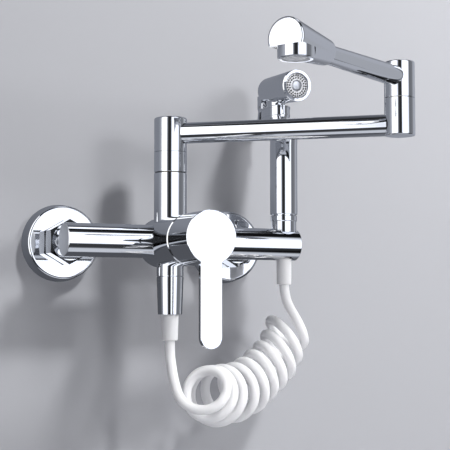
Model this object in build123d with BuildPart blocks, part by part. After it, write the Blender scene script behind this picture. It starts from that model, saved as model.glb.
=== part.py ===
from build123d import *
import math
import os

# Wall mounted kitchen mixer with a double-jointed swing spout and a docked spray gun.
# Millimetres. The wall plane is Y = 0, the room is towards -Y, +Z is up, and the origin lies
# on the wall halfway between the two inlets, at the height of the cross bar.

# ---- driving dimensions ----------------------------------------------------------------------

# wall connections
INLET_CENTRES = 150.0  # distance between the two wall inlets
WALL_TO_BAR = 59.0  # wall plane to the axis of the cross bar
THREAD_R = 10.48  # G 1/2 tail that screws into the wall
THREAD_LENGTH = 14.0
UNION_R = 13.1  # G 3/4 front of the union
UNION_BORE_R = 7.5
UNION_FRONT = 22.0  # front face of the union, from the wall
COVER_R = 31.9  # escutcheon at the wall
COVER_FRONT_R = 30.0
COVER_DEPTH = 13.5
COVER_EDGE = 2.6  # rounding of its front rim
COVER_WALL = 1.2
NUT_ACROSS_FLATS = 32.0
NUT_BACK = 14.6  # back face of the nut, from the wall
NUT_LENGTH = 15.6
NUT_CHAMFER = 1.7
TAIL_R = 11.0
TAIL_FLANGE_R = 12.9
TAIL_FLANGE = 3.0

# cross bar and valve housing
BAR_R = 13.3
BAR_LEFT = 90.0  # left end, from the middle
BAR_RIGHT = 115.0  # right end, from the middle
BAR_BORE_R = 9.0
BAR_END_WALL = 4.0
HOUSING_R = 20.4
HOUSING_BACK = 21.6  # behind the bar axis
HOUSING_FRONT = 41.7  # in front of the bar axis
HOUSING_RIM_WALL = 1.3
HOUSING_POCKET = 5.7  # depth of the front pocket that the lever's skirt rocks into
MANIFOLD_R = 5.0
SPUD_R = 10.9
SPUD_END = 27.6  # under the bar axis

# spray seat at the right end of the bar
SEAT_X = 104.4
SEAT_HOLE_R = 8.2
SEAT_FACE_R = 11.3
SEAT_FACE_Z = 10.6

# cartridge and lever, measured forward from the bar axis
CHAMBER_R = 13.2
CHAMBER_FLOOR = 8.0
INLET_PORTS = [(-9.6, 1.0), (9.6, 1.0)]  # hot and cold, in the chamber's floor
INLET_PORT_R = 2.0
OUTLET_PORT = (0.0, -7.0)
OUTLET_PORT_R = 2.6
PLATE = 2.0  # floor and top plate of the cartridge
GASKET_THICK = 1.0
CARTRIDGE_TOP = 30.0
CARTRIDGE_WALL = 2.6
TOWER_R = 9.5
TOWER_END = 58.5
NUT_THREAD_R = 15.4
CARTRIDGE_NUT_R = 13.2
CARTRIDGE_NUT_END = 39.0
CARTRIDGE_NUT_THREAD = 5.0
DISC_THICK = 3.0
DISC_PORTS = [(-7.4, 1.0), (7.4, 1.0)]
DISC_OUTLET = (0.0, -6.0)
DISC_SLOT = (11.0, 6.0)  # mixing hollow under the moving disc
DISC_SLOT_DEPTH = 1.4
GUIDE_R = 8.0
PIVOT = 55.0  # rocking axis of the lever
PIN_R = 1.5
STEM_WIDTH = 5.0
STEM_DEPTH = 7.0
STEM_END = 75.0
STEM_INNER = 9.0  # how far the stem reaches behind its pin
STEM_EDGE = 3.2
GUIDE_SLOT = (5.4, 13.2)  # leaves the stem room to rock
GUIDE_SLOT_DEPTH = 11.0  # behind the pin
RIM_GAP = 3.3  # shadow gap between the housing and the lever's skirt
SKIRT_R = 20.6
SKIRT_WALL = 1.5
LEVER_FRONT = 80.0
LEVER_THICK = 4.0
LEVER_WIDTH = 17.6
LEVER_TIP = 84.0  # below the valve axis
BOSS_R = 7.0
BOSS_END = 66.0
SCREW_R = 1.9
SCREW_KEY = 1.0  # half of its key's width across flats
SCREW_SUNK = 0.4
LEVER_FILLET = 3.0  # where the lever runs into the round front

# spout column
COLUMN_R = 13.3
RISER_TOP = 55.7
RISER_BORE_R = 9.8
SEAM = 0.3  # running gap of both swivels
WASHER_RING = 0.4
SPIGOT_R = 9.8
SPIGOT_BORE_R = 6.2
SPIGOT_FOOT = 34.0
SPIGOT_TOP = 79.0
SPIGOT_FLANGE_R = 11.3
SWIVEL_RING_TOP = 72.9
HUB_FOOT = 73.0
HUB_TOP = 101.1
HUB_EDGE = 1.5
HUB_THREAD_R = 11.5
TOP_WALL = 3.6
SLEEVE_WALL = 2.6  # closed ends of the elbow
NUT_FLOOR = 2.0  # inner shoulder of the swivel ring
SPIGOT_FLANGE = 2.2
SEAL_GROOVE = 0.2  # play of a seal along its groove
RUNNING = 0.15  # radial clearance of the turning fits
SEAL_R = 1.0  # section radius of the round seals

# inner arm
INNER_AZIMUTH = -40.7
INNER_LENGTH = 186.3
INNER_Z = 88.3
INNER_R = 8.5
TUBE_WALL = 1.2

# elbow between the arms
ELBOW_R = 11.9
ELBOW_FOOT = 79.6
ELBOW_SEAM_Z = 108.9
ELBOW_TOP = 137.4
ELBOW_BORE_R = 8.9
ELBOW_EDGE = 1.2
ELBOW_SPIGOT_FOOT = 99.0
ELBOW_SPIGOT_TOP = 118.0
ELBOW_SPIGOT_BORE_R = 5.6

# outer arm and nozzle
OUTER_AZIMUTH = 208.25
OUTER_Z = 125.5
OUTER_R = 8.2  # at the elbow
OUTER_TIP_R = 6.9  # where it enters the nozzle head
HEAD_START = 110.0  # from the elbow axis
HEAD_FACE = 161.3
HEAD_START_R = 9.3
HEAD_FACE_R = 14.7
HEAD_START_RISE = 0.8
HEAD_FACE_RISE = 2.4
HEAD_EDGE = 1.8
HEAD_FLAT_Z = 123.3
COLLAR_X = 147.5  # aerator axis, from the elbow axis
COLLAR_R = 12.8
COLLAR_FOOT_Z = 115.2
COLLAR_BORE_R = 10.8
COLLAR_LIP = 1.2
COLLAR_EDGE = 1.2
COLLAR_NECK = 3.0  # threaded neck that the collar screws on
COLLAR_NECK_WALL = 2.0
TUBE_IN_HEAD = 6.0  # how deep the outer tube enters the nozzle head
AERATOR_JETS = [(4.0, 8), (7.4, 16)]  # ring radius and number of holes
AERATOR_JET_R = 1.0
AERATOR_GASKET = 1.0

# hose outlet under the valve
CONE_TOP_R = 10.9
CONE_FOOT_R = 9.8
CONE_FOOT = 58.5
CONE_BORE_R = 4.5
FERRULE_TOP_R = 6.95
FERRULE_FOOT_R = 6.35
FERRULE_LENGTH = 21.0

# hose: two leads, and one fat bent body in place of the turns of its coil
HOSE_R = 4.0
COIL_STATIONS = [  # middle, direction and radius of the turns, from the outlet's end
    ((19.7, -83.0, -118.2), (0.631, 0.667, -0.396), 16.8),
    ((35.3, -69.0, -124.2), (0.773, 0.625, -0.104), 21.6),
    ((62.9, -60.0, -120.5), (0.882, 0.395, 0.258), 20.4),
    ((83.9, -57.0, -107.8), (0.876, 0.153, 0.458), 18.6),
    ((100.4, -55.0, -92.2), (0.822, 0.027, 0.569), 18.4),
    ((113.6, -50.0, -69.4), (0.752, -0.042, 0.658), 18.8),
]
LEAD_LEFT_POINTS = [(0.0, -59.0, -93.0), (-0.3, -66.0, -108.0), (0.2, -73.0, -120.0)]
LEAD_LEFT_END = (6.5, -82.0, -131.0)
LEAD_RIGHT_POINTS = [(104.4, -59.0, -45.0), (107.6, -63.0, -58.5)]
LEAD_RIGHT_END = (112.5, -67.5, -67.5)

# spray gun
GUN_SPIGOT_R = 8.0
GUN_SPIGOT_FOOT = -5.0
GUN_BASE_R = 10.55
GUN_BASE_TOP = 19.6
GUN_RING_R = 11.1
GUN_RING_TOP = 24.5
GUN_GRIP_R = 11.6
GUN_GRIP_FOOT = 25.4
GUN_GRIP_TOP = 90.0
GUN_BORE_R = 8.0
GUN_FERRULE_FOOT = -33.8
GUN_FERRULE_TOP = -12.0
GUN_FERRULE_R = 6.4
GUN_NIPPLE_R = 4.6
NECK_BAND = (109.5, 117.5)  # foot and top of the plain band under the head
NECK_X = 11.2  # half width of the oval neck
NECK_Y = 15.5  # half depth of the oval neck
NECK_BACK = 15.0  # how far its middle lies behind the grip's axis
GUN_HEAD_Z = 132.2
GUN_HEAD_FRONT = 24.2  # face, in front of the grip's axis
GUN_HEAD_BACK = 27.0
GUN_FACE_R = 13.4
GUN_REAR_R = 10.6
GUN_REAR_EDGE = 2.0
GUN_HEAD_TILT = 5.0  # degrees, face down
BEZEL_INNER_R = 10.9
BEZEL_DEPTH = 3.0
PLATE_THICK = 2.0
JET_RINGS = [(6.1, 14), (8.9, 24)]  # ring radius and number of jets
JET_R = 0.55
PLATE_BOSS_R = 4.2

# trigger, at the back of the spray gun; Y behind the grip's axis
TRIGGER_PIVOT_Y = 27.0
TRIGGER_PIVOT_Z = 120.6
TRIGGER_PIN_R = 1.3
TRIGGER_EYE_R = 3.2
TRIGGER_ROOM = 2.2  # pocket around the trigger's eye
TRIGGER_WIDTH = 14.0
TRIGGER_THICK = 2.2
TRIGGER_KNEE_Y = 32.8
TRIGGER_KNEE_Z = 118.0
TRIGGER_FOOT_Y = 35.9
TRIGGER_FOOT_Z = 101.0
TRIGGER_CURL_Y = 38.9  # finger rest at the lower end
TRIGGER_CURL_Z = 96.5
CHEEK_R = 3.9
CHEEK_RISE = 12.0
CHEEK_THICK = 1.8
PLUNGER_R = 1.6
PLUNGER_Z = 112.0
PLUNGER_INNER = 21.0
PLUNGER_GAP = 0.15  # from the trigger at rest

# ---- derived places --------------------------------------------------------------------------

BAR_Y = -WALL_TO_BAR
INLET_X = INLET_CENTRES / 2
SIDES = {"left": -INLET_X, "right": INLET_X}


def forward(distance):
    """Plane across the valve axis, its normal towards the room, measured from the bar axis."""
    return Plane(origin=(0, BAR_Y - distance, 0), x_dir=(1, 0, 0), z_dir=(0, -1, 0))


def off_wall(x, distance):
    """Plane parallel to the wall at an inlet, its normal towards the room."""
    return Plane(origin=(x, -distance, 0), x_dir=(1, 0, 0), z_dir=(0, -1, 0))


def level(x, y, z):
    """Horizontal plane on a vertical axis."""
    return Plane(origin=(x, y, z), x_dir=(1, 0, 0), z_dir=(0, 0, 1))


def heading(azimuth):
    return Vector(math.cos(math.radians(azimuth)), math.sin(math.radians(azimuth)), 0)


INNER_DIR = heading(INNER_AZIMUTH)
OUTER_DIR = heading(OUTER_AZIMUTH)
COLUMN = Vector(0, BAR_Y, 0)
ELBOW = COLUMN + INNER_DIR * INNER_LENGTH
SEAT = Vector(SEAT_X, BAR_Y, 0)


def inner_arm(distance):
    """Plane across the inner arm at a distance from the column axis."""
    return Plane(origin=COLUMN + INNER_DIR * distance + Vector(0, 0, INNER_Z), z_dir=INNER_DIR)


def outer_arm(distance, rise=0.0):
    """Plane across the outer arm at a distance from the elbow axis."""
    return Plane(
        origin=ELBOW + OUTER_DIR * distance + Vector(0, 0, OUTER_Z + rise), z_dir=OUTER_DIR
    )


SEAM_FACE = HOUSING_FRONT + RIM_GAP  # back rim of the lever's skirt
TUBE_SEAT = 2.4  # how deep an arm tube enters a sleeve
OUTER_TAPER = math.degrees(math.atan((OUTER_R - OUTER_TIP_R) / HEAD_START))

os.makedirs("parts", exist_ok=True)


def write(piece, name):
    piece.part.label = name
    export_step(piece.part, f"parts/{name}.step")


# ---- wall unions, covers, nuts and tails -----------------------------------------------------

nut_face = NUT_BACK + NUT_LENGTH
for side, x in SIDES.items():
    with BuildPart() as union:
        with BuildSketch(off_wall(x, -THREAD_LENGTH)):
            Circle(THREAD_R)
        extrude(amount=THREAD_LENGTH)
        with BuildSketch(off_wall(x, 0)):
            Circle(UNION_R)
        extrude(amount=UNION_FRONT)
        chamfer(union.edges().group_by(Axis.Y)[0], 0.8)
        with BuildSketch(off_wall(x, -THREAD_LENGTH)):
            Circle(UNION_BORE_R)
        extrude(amount=THREAD_LENGTH + UNION_FRONT, mode=Mode.SUBTRACT)
    write(union, f"wall_union_{side}")

    with BuildPart() as cover:
        with BuildSketch(off_wall(x, 0)):
            Circle(COVER_R)
        with BuildSketch(off_wall(x, COVER_DEPTH)):
            Circle(COVER_FRONT_R)
        loft()
        front_face = cover.faces().sort_by(Axis.Y)[0]
        fillet(front_face.edges(), COVER_EDGE)
        back_face = cover.faces().sort_by(Axis.Y)[-1]
        offset(amount=-COVER_WALL, openings=back_face)
        with BuildSketch(off_wall(x, 0)):
            Circle(UNION_R + RUNNING)
        extrude(amount=COVER_DEPTH, mode=Mode.SUBTRACT)
    write(cover, f"escutcheon_{side}")

    with BuildPart() as turned:
        with BuildSketch(off_wall(x, NUT_BACK)):
            Circle(NUT_ACROSS_FLATS / math.sqrt(3))
        extrude(amount=NUT_LENGTH)
        chamfer(turned.edges().filter_by(GeomType.CIRCLE), NUT_CHAMFER, 2 * NUT_CHAMFER)
    with BuildPart() as nut:
        with BuildSketch(off_wall(x, NUT_BACK)):
            RegularPolygon(NUT_ACROSS_FLATS / 2, 6, major_radius=False, rotation=30)
        extrude(amount=NUT_LENGTH)
        add(turned.part, mode=Mode.INTERSECT)
        with BuildSketch(off_wall(x, NUT_BACK)):
            Circle(UNION_R + 0.05)
        extrude(amount=NUT_LENGTH - TAIL_FLANGE, mode=Mode.SUBTRACT)
        with BuildSketch(off_wall(x, NUT_BACK)):
            Circle(TAIL_R + RUNNING)
        extrude(amount=NUT_LENGTH, mode=Mode.SUBTRACT)
    write(nut, f"union_nut_{side}")

    flange_back = nut_face - TAIL_FLANGE - TAIL_FLANGE
    with BuildPart() as washer:
        with BuildSketch(off_wall(x, UNION_FRONT)):
            Circle(TAIL_FLANGE_R)
            Circle(UNION_BORE_R, mode=Mode.SUBTRACT)
        extrude(amount=flange_back - UNION_FRONT)
    write(washer, f"union_washer_{side}")

    with BuildPart() as tail:
        with BuildSketch(off_wall(x, flange_back)):
            Circle(TAIL_FLANGE_R)
        extrude(amount=TAIL_FLANGE)
        with BuildSketch(off_wall(x, flange_back)):
            Circle(TAIL_R)
        extrude(amount=WALL_TO_BAR - BAR_BORE_R - flange_back)
        with BuildSketch(Plane.YZ.offset(x - COVER_R)):
            with Locations((BAR_Y, 0)):
                Circle(BAR_R)
        extrude(amount=2 * COVER_R, mode=Mode.SUBTRACT)
        with BuildSketch(off_wall(x, flange_back)):
            Circle(UNION_BORE_R)
        extrude(amount=WALL_TO_BAR, mode=Mode.SUBTRACT)
    write(tail, f"inlet_tail_{side}")

# ---- mixer body: bar, valve housing, spud and spray seat -------------------------------------

with BuildPart() as body:
    with BuildSketch(Plane.YZ.offset(-BAR_LEFT)):
        with Locations((BAR_Y, 0)):
            Circle(BAR_R)
    extrude(amount=BAR_LEFT + BAR_RIGHT)
    end_rings = body.edges().filter_by(GeomType.CIRCLE)
    chamfer(end_rings, 0.6)
    with BuildSketch(forward(-HOUSING_BACK)):
        Circle(HOUSING_R)
    extrude(amount=HOUSING_BACK + HOUSING_FRONT)
    rims = body.edges().filter_by(GeomType.CIRCLE).group_by(Axis.Y)
    chamfer(rims[0], 0.7)
    fillet(rims[-1], 2.0)
    with BuildSketch(level(0, BAR_Y, -SPUD_END)):
        Circle(SPUD_R)
    extrude(amount=SPUD_END)

    # front pocket, nut thread and cartridge chamber
    with BuildSketch(forward(HOUSING_FRONT - HOUSING_POCKET)):
        Circle(HOUSING_R - HOUSING_RIM_WALL)
    extrude(amount=HOUSING_POCKET, mode=Mode.SUBTRACT)
    with BuildSketch(forward(CARTRIDGE_TOP)):
        Circle(NUT_THREAD_R)
    extrude(amount=HOUSING_FRONT - CARTRIDGE_TOP, mode=Mode.SUBTRACT)
    with BuildSketch(forward(CHAMBER_FLOOR)):
        Circle(CHAMBER_R)
    extrude(amount=CARTRIDGE_TOP - CHAMBER_FLOOR, mode=Mode.SUBTRACT)

    # hot and cold ways in the bar, with their ports into the chamber
    with BuildSketch(Plane.YZ.offset(-BAR_LEFT + BAR_END_WALL)):
        with Locations((BAR_Y, 0)):
            Circle(BAR_BORE_R)
    extrude(amount=BAR_LEFT - BAR_END_WALL - MANIFOLD_R - 2.5, mode=Mode.SUBTRACT)
    with BuildSketch(Plane.YZ.offset(MANIFOLD_R + 2.5)):
        with Locations((BAR_Y, 0)):
            Circle(BAR_BORE_R)
    extrude(amount=SEAT_X - SEAT_FACE_R - MANIFOLD_R - 2.5 - 2.0, mode=Mode.SUBTRACT)
    with BuildSketch(forward(0)):
        with Locations(*INLET_PORTS):
            Circle(INLET_PORT_R)
        with Locations(OUTLET_PORT):
            Circle(OUTLET_PORT_R)
    extrude(amount=CHAMBER_FLOOR, mode=Mode.SUBTRACT)
    # outlet way up to the spout column and down to the hose
    with BuildSketch(level(0, BAR_Y, -SPUD_END)):
        Circle(MANIFOLD_R)
    extrude(amount=SPUD_END + HOUSING_R, mode=Mode.SUBTRACT)
    # inlets from the tails
    for x in SIDES.values():
        with BuildSketch(off_wall(x, WALL_TO_BAR - BAR_R)):
            Circle(UNION_BORE_R)
        extrude(amount=BAR_R, mode=Mode.SUBTRACT)
    # seat that the spray gun stands in
    with BuildSketch(level(SEAT.X, SEAT.Y, -BAR_R)):
        Circle(SEAT_HOLE_R)
    extrude(amount=2 * BAR_R, mode=Mode.SUBTRACT)
    with BuildSketch(level(SEAT.X, SEAT.Y, SEAT_FACE_Z)):
        Circle(SEAT_FACE_R)
    extrude(amount=BAR_R, mode=Mode.SUBTRACT)
write(body, "mixer_body")

# ---- cartridge and its retaining nut ---------------------------------------------------------

with BuildPart() as cartridge_gasket:
    with BuildSketch(forward(CHAMBER_FLOOR)):
        Circle(CHAMBER_R - RUNNING)
        with Locations(*INLET_PORTS):
            Circle(INLET_PORT_R, mode=Mode.SUBTRACT)
        with Locations(OUTLET_PORT):
            Circle(OUTLET_PORT_R, mode=Mode.SUBTRACT)
    extrude(amount=GASKET_THICK)
write(cartridge_gasket, "cartridge_gasket")

cartridge_foot = CHAMBER_FLOOR + GASKET_THICK
inner_r = CHAMBER_R - RUNNING - CARTRIDGE_WALL
with BuildPart() as cartridge:
    with BuildSketch(forward(cartridge_foot)):
        Circle(CHAMBER_R - RUNNING)
    extrude(amount=CARTRIDGE_TOP - cartridge_foot)
    with BuildSketch(forward(CARTRIDGE_TOP)):
        Circle(TOWER_R)
    extrude(amount=TOWER_END - CARTRIDGE_TOP)
    with BuildSketch(forward(cartridge_foot)):
        with Locations(*INLET_PORTS):
            Circle(INLET_PORT_R)
        with Locations(OUTLET_PORT):
            Circle(OUTLET_PORT_R)
    extrude(amount=PLATE, mode=Mode.SUBTRACT)
    with BuildSketch(forward(cartridge_foot + PLATE)):
        Circle(inner_r)
    extrude(amount=CARTRIDGE_TOP - cartridge_foot - 2 * PLATE, mode=Mode.SUBTRACT)
    with BuildSketch(forward(cartridge_foot + PLATE)):
        Circle(GUIDE_R + RUNNING)
    extrude(amount=TOWER_END, mode=Mode.SUBTRACT)
write(cartridge, "cartridge_body")

disc_r = inner_r - RUNNING
disc_floor = cartridge_foot + PLATE
with BuildPart() as disc_fixed:
    with BuildSketch(forward(disc_floor)):
        Circle(disc_r)
        with Locations(*DISC_PORTS):
            Circle(INLET_PORT_R, mode=Mode.SUBTRACT)
        with Locations(DISC_OUTLET):
            Circle(OUTLET_PORT_R, mode=Mode.SUBTRACT)
    extrude(amount=DISC_THICK)
write(disc_fixed, "disc_fixed")

moving_floor = disc_floor + DISC_THICK + 0.05
with BuildPart() as disc_moving:
    with BuildSketch(forward(moving_floor)):
        Circle(disc_r - 1.0)
    extrude(amount=DISC_THICK)
    with BuildSketch(forward(moving_floor)):
        SlotOverall(*DISC_SLOT)
    extrude(amount=DISC_SLOT_DEPTH, mode=Mode.SUBTRACT)
write(disc_moving, "disc_moving")

with BuildPart() as cartridge_nut:
    with BuildSketch(forward(CARTRIDGE_TOP)):
        Circle(NUT_THREAD_R)
    extrude(amount=CARTRIDGE_NUT_THREAD)
    with BuildSketch(forward(CARTRIDGE_TOP + CARTRIDGE_NUT_THREAD)):
        RegularPolygon(CARTRIDGE_NUT_R, 6)
    extrude(amount=CARTRIDGE_NUT_END - CARTRIDGE_TOP - CARTRIDGE_NUT_THREAD)
    with BuildSketch(forward(CARTRIDGE_TOP)):
        Circle(TOWER_R + RUNNING)
    extrude(amount=CARTRIDGE_NUT_END, mode=Mode.SUBTRACT)
write(cartridge_nut, "cartridge_nut")

# ---- stem guide, pin, stem and lever ---------------------------------------------------------

guide_foot = moving_floor + DISC_THICK
with BuildPart() as guide:
    with BuildSketch(forward(guide_foot)):
        Circle(GUIDE_R)
    extrude(amount=TOWER_END - guide_foot)
    with BuildSketch(forward(PIVOT - GUIDE_SLOT_DEPTH)):
        Rectangle(*GUIDE_SLOT)
    extrude(amount=TOWER_END, mode=Mode.SUBTRACT)
    with BuildSketch(Plane.YZ.offset(-GUIDE_R)):
        with Locations((BAR_Y - PIVOT, 0)):
            Circle(PIN_R)
    extrude(amount=2 * GUIDE_R, mode=Mode.SUBTRACT)
write(guide, "stem_guide")

with BuildPart() as stem_pin:
    with BuildSketch(Plane.YZ.offset(-GUIDE_R + 0.3)):
        with Locations((BAR_Y - PIVOT, 0)):
            Circle(PIN_R)
    extrude(amount=2 * (GUIDE_R - 0.3))
write(stem_pin, "stem_pin")

with BuildPart() as stem:
    with BuildSketch(forward(PIVOT - STEM_INNER)):
        Rectangle(STEM_WIDTH, STEM_DEPTH)
    extrude(amount=STEM_END - PIVOT + STEM_INNER)
    fillet(stem.edges().filter_by(Axis.X).group_by(Axis.Y)[-1], STEM_EDGE)
    with BuildSketch(Plane.YZ.offset(-STEM_WIDTH)):
        with Locations((BAR_Y - PIVOT, 0)):
            Circle(PIN_R + 0.05)
    extrude(amount=2 * STEM_WIDTH, mode=Mode.SUBTRACT)
write(stem, "lever_stem")

screw_at = (BOSS_END + LEVER_FRONT - LEVER_THICK) / 2
with BuildPart() as lever:
    with BuildSketch(forward(SEAM_FACE)):
        Circle(SKIRT_R)
    extrude(amount=LEVER_FRONT - SEAM_FACE)
    # flat lever, flush with the round front
    with BuildSketch(forward(LEVER_FRONT - LEVER_THICK)):
        with BuildLine():
            half = LEVER_WIDTH / 2
            Line((-half, 0), (-half, -LEVER_TIP + half))
            RadiusArc((-half, -LEVER_TIP + half), (half, -LEVER_TIP + half), -half)
            Line((half, -LEVER_TIP + half), (half, 0))
            Line((half, 0), (-half, 0))
        make_face()
    extrude(amount=LEVER_THICK)
    corners = lever.edges().filter_by(Axis.Y).filter_by(
        lambda e: abs(abs(e.center().X) - half) < 0.1 and -SKIRT_R < e.center().Z < -SKIRT_R / 2
    )
    fillet(corners, LEVER_FILLET)
    front = lever.faces().sort_by(Axis.Y)[0]
    chamfer(front.edges(), 0.35)
    # the skirt is hollow behind the front, with a boss for the stem
    with BuildSketch(forward(SEAM_FACE)):
        Circle(SKIRT_R - SKIRT_WALL)
        Circle(BOSS_R, mode=Mode.SUBTRACT)
    extrude(amount=LEVER_FRONT - LEVER_THICK - SEAM_FACE, mode=Mode.SUBTRACT)
    with BuildSketch(forward(SEAM_FACE)):
        Circle(BOSS_R)
    extrude(amount=BOSS_END - SEAM_FACE, mode=Mode.SUBTRACT)
    with BuildSketch(forward(BOSS_END)):
        Rectangle(STEM_WIDTH, STEM_DEPTH)
    extrude(amount=STEM_END - BOSS_END, mode=Mode.SUBTRACT)
    with BuildSketch(level(0, BAR_Y - screw_at, -SKIRT_R)):
        Circle(SCREW_R)
    extrude(amount=SKIRT_R - STEM_DEPTH / 2, mode=Mode.SUBTRACT)
write(lever, "lever_handle")

with BuildPart() as handle_screw:
    with BuildSketch(level(0, BAR_Y - screw_at, -BOSS_R + SCREW_SUNK)):
        Circle(SCREW_R)
    extrude(amount=BOSS_R - SCREW_SUNK - STEM_DEPTH / 2)
    with BuildSketch(level(0, BAR_Y - screw_at, -BOSS_R + SCREW_SUNK)):
        RegularPolygon(SCREW_KEY, 6, major_radius=False)
    extrude(amount=1.5, mode=Mode.SUBTRACT)
write(handle_screw, "handle_screw")

# ---- spout column: riser, spigot, seals, swivel ring and hub ---------------------------------

with BuildPart() as riser:
    with BuildSketch(level(0, BAR_Y, 0)):
        Circle(COLUMN_R)
    extrude(amount=RISER_TOP)
    chamfer(riser.edges().group_by(Axis.Z)[-1], 0.3)
    with BuildSketch(forward(-HOUSING_BACK)):
        Circle(HOUSING_R)
    extrude(amount=HOUSING_BACK + HOUSING_FRONT, mode=Mode.SUBTRACT)
    with BuildSketch(level(0, BAR_Y, 0)):
        Circle(SPIGOT_BORE_R)
    extrude(amount=RISER_TOP, mode=Mode.SUBTRACT)
    with BuildSketch(level(0, BAR_Y, SPIGOT_FOOT)):
        Circle(RISER_BORE_R)
    extrude(amount=RISER_TOP, mode=Mode.SUBTRACT)
write(riser, "column_riser")

washer_top = RISER_TOP + WASHER_RING
ring_foot = washer_top + SEAM
flange_foot = ring_foot + NUT_FLOOR + SEAM
flange_top = flange_foot + SPIGOT_FLANGE
column_seal_z = (flange_top + 4.0, SPIGOT_TOP - 4.0)
seal_floor = SPIGOT_R - 2 * SEAL_R + 0.1
with BuildPart() as spigot:
    with BuildSketch(level(0, BAR_Y, SPIGOT_FOOT)):
        Circle(SPIGOT_R)
    extrude(amount=SPIGOT_TOP - SPIGOT_FOOT)
    with BuildSketch(level(0, BAR_Y, flange_foot)):
        Circle(SPIGOT_FLANGE_R)
    extrude(amount=flange_top - flange_foot)
    for z in column_seal_z:
        with BuildSketch(level(0, BAR_Y, z - SEAL_R - SEAL_GROOVE)):
            Circle(SPIGOT_R)
            Circle(seal_floor, mode=Mode.SUBTRACT)
        extrude(amount=2 * (SEAL_R + SEAL_GROOVE), mode=Mode.SUBTRACT)
    with BuildSketch(level(0, BAR_Y, SPIGOT_FOOT)):
        Circle(SPIGOT_BORE_R)
    extrude(amount=SPIGOT_TOP, mode=Mode.SUBTRACT)
write(spigot, "column_spigot")

with BuildPart() as column_washer:
    with BuildSketch(level(0, BAR_Y, RISER_TOP)):
        Circle(COLUMN_R - 0.8)
        Circle(SPIGOT_R + 0.05, mode=Mode.SUBTRACT)
    extrude(amount=WASHER_RING)
write(column_washer, "column_washer")

with BuildPart() as column_seals:
    for z in column_seal_z:
        with Locations(level(0, BAR_Y, z)):
            Torus(seal_floor + SEAL_R, SEAL_R)
write(column_seals, "column_seals")

with BuildPart() as swivel_ring:
    with BuildSketch(level(0, BAR_Y, ring_foot)):
        Circle(COLUMN_R)
    extrude(amount=SWIVEL_RING_TOP - ring_foot)
    chamfer(swivel_ring.edges(), 0.3)
    with BuildSketch(level(0, BAR_Y, ring_foot)):
        Circle(SPIGOT_R + RUNNING)
    extrude(amount=SWIVEL_RING_TOP, mode=Mode.SUBTRACT)
    with BuildSketch(level(0, BAR_Y, ring_foot + NUT_FLOOR)):
        Circle(HUB_THREAD_R)
    extrude(amount=SWIVEL_RING_TOP, mode=Mode.SUBTRACT)
write(swivel_ring, "swivel_ring")

with BuildPart() as hub:
    with BuildSketch(level(0, BAR_Y, HUB_FOOT)):
        Circle(COLUMN_R)
    extrude(amount=HUB_TOP - HUB_FOOT)
    fillet(hub.edges().group_by(Axis.Z)[-1], HUB_EDGE)
    with BuildSketch(level(0, BAR_Y, flange_top + SEAM)):
        Circle(HUB_THREAD_R)
    extrude(amount=HUB_FOOT - flange_top - SEAM)
    with BuildSketch(level(0, BAR_Y, flange_top + SEAM)):
        Circle(SPIGOT_R + RUNNING)
    extrude(amount=HUB_TOP - TOP_WALL - flange_top - SEAM, mode=Mode.SUBTRACT)
    with BuildSketch(inner_arm(0)):
        Circle(INNER_R)
    extrude(amount=INNER_LENGTH, mode=Mode.SUBTRACT)
write(hub, "arm_hub")

# ---- inner arm and the lower half of the elbow -----------------------------------------------

with BuildPart() as inner_tube:
    with BuildSketch(inner_arm(COLUMN_R - TUBE_SEAT)):
        Circle(INNER_R)
        Circle(INNER_R - TUBE_WALL, mode=Mode.SUBTRACT)
    extrude(amount=INNER_LENGTH - COLUMN_R - ELBOW_R + 2 * TUBE_SEAT)
write(inner_tube, "inner_arm_tube")

lower_top = ELBOW_SEAM_Z - SEAM / 2
upper_foot = ELBOW_SEAM_Z + SEAM / 2
with BuildPart() as lower_sleeve:
    with BuildSketch(level(ELBOW.X, ELBOW.Y, ELBOW_FOOT)):
        Circle(ELBOW_R)
    extrude(amount=lower_top - ELBOW_FOOT)
    fillet(lower_sleeve.edges().group_by(Axis.Z)[0], ELBOW_EDGE)
    chamfer(lower_sleeve.edges().group_by(Axis.Z)[-1], 0.3)
    with BuildSketch(level(ELBOW.X, ELBOW.Y, ELBOW_FOOT + SLEEVE_WALL)):
        Circle(ELBOW_BORE_R)
    extrude(amount=lower_top, mode=Mode.SUBTRACT)
    with BuildSketch(inner_arm(0)):
        Circle(INNER_R)
    extrude(amount=INNER_LENGTH, mode=Mode.SUBTRACT)
write(lower_sleeve, "elbow_lower_sleeve")

elbow_seal_z = (upper_foot + 3.0, ELBOW_SPIGOT_TOP - 2.4)
journal_r = ELBOW_BORE_R - RUNNING
elbow_seal_floor = journal_r - 2 * SEAL_R + 0.1
with BuildPart() as elbow_spigot:
    with BuildSketch(level(ELBOW.X, ELBOW.Y, ELBOW_SPIGOT_FOOT)):
        Circle(ELBOW_BORE_R)
    extrude(amount=lower_top - ELBOW_SPIGOT_FOOT)
    with BuildSketch(level(ELBOW.X, ELBOW.Y, ELBOW_SPIGOT_FOOT)):
        Circle(journal_r)
    extrude(amount=ELBOW_SPIGOT_TOP - ELBOW_SPIGOT_FOOT)
    for z in elbow_seal_z:
        with BuildSketch(level(ELBOW.X, ELBOW.Y, z - SEAL_R - SEAL_GROOVE)):
            Circle(journal_r)
            Circle(elbow_seal_floor, mode=Mode.SUBTRACT)
        extrude(amount=2 * (SEAL_R + SEAL_GROOVE), mode=Mode.SUBTRACT)
    with BuildSketch(level(ELBOW.X, ELBOW.Y, ELBOW_SPIGOT_FOOT)):
        Circle(ELBOW_SPIGOT_BORE_R)
    extrude(amount=ELBOW_SPIGOT_TOP, mode=Mode.SUBTRACT)
write(elbow_spigot, "elbow_spigot")

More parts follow.
